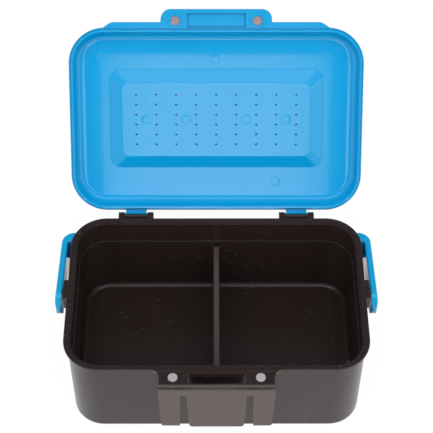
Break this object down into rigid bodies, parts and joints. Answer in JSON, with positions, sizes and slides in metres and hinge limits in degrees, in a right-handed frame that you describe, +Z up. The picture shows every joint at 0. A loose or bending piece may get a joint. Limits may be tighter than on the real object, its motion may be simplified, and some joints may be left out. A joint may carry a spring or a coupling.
{
  "type": "insect keeper box",
  "caption": "Two-compartment live-insect box: deep tub with a drop-in divider, vented hinged lid held by magnets, belt clip and side strap hooks.",
  "frame": {"origin": "centre of the tub's flat underside", "axes": "+X to the right along the hinge line, +Y back towards the hinges, +Z up"},
  "size_m": [0.1728, 0.1867, 0.1459],
  "materials": {
    "tub": "gloss",
    "divider": "gloss",
    "belt_clip": "gloss",
    "strap_hook": "satin",
    "lid": "satin",
    "tub_magnet": "satin nickel plate",
    "lid_magnet": "satin nickel plate"
  },
  "bodies": {
    "tub": {"tub": "tub", "divider": "divider", "belt_clip": "belt_clip", "tub_magnet_left": "tub_magnet", "tub_magnet_right": "tub_magnet", "strap_hook_left": "strap_hook", "strap_hook_right": "strap_hook"},
    "lid": {"lid": "lid", "lid_magnet_left": "lid_magnet", "lid_magnet_right": "lid_magnet"}
  },
  "joints": [
    {"name": "lid_hinge", "type": "hinge", "parent": "tub", "child": "lid", "pos_m": [0, 0.054, 0.0552], "axis": [1, 0, 0], "range_deg": [0, 126]}
  ]
}
